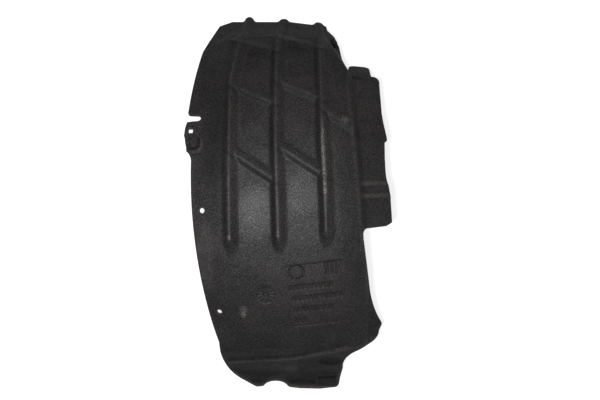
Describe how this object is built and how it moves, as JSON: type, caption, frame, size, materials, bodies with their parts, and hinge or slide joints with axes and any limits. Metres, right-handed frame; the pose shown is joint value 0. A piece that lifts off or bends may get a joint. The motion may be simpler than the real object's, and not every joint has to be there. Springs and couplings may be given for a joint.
{
  "type": "wheel arch liner",
  "caption": "Arched textile wheel arch liner with raised long ribs, slanting beads, a stepped brim with a side panel, a clip tab and a bent foot.",
  "frame": {"origin": "centre of the bounding box on the surface the liner lies on, arch upwards", "axes": "+X across the wheel towards the side panel, +Y along the arch to its top end, +Z out of the convex side"},
  "size_m": [0.3014, 0.6172, 0.1645],
  "materials": {
    "felt": "pressed needled polyester felt, very dark grey, fibrous and matt with a faint sheen on the pressed crests"
  },
  "bodies": {
    "root": {"wheel_arch_liner": "felt"}
  },
  "joints": []
}
